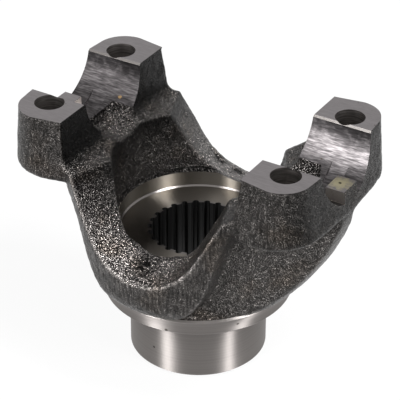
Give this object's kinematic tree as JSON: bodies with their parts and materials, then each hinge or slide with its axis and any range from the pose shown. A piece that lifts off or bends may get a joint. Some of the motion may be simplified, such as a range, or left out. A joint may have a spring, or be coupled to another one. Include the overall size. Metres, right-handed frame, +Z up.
{
  "type": "forged yoke",
  "caption": "Forged steel end yoke with a splined hub, a nut bowl and a pair of arms that each seat a bearing cap of a universal joint under a U-bolt.",
  "frame": {"origin": "centre of the journal's flat underside, on the shaft axis", "axes": "+Z up along the shaft axis, X along the bearing caps from arm to arm, Y across the fork between the two bosses of each arm"},
  "size_m": [0.0944, 0.0674, 0.075],
  "materials": {
    "forged_steel": "dark rough forged skin with bright machined seats, journal, nut seat and bore"
  },
  "bodies": {
    "root": {"yoke": "forged_steel"}
  },
  "joints": []
}
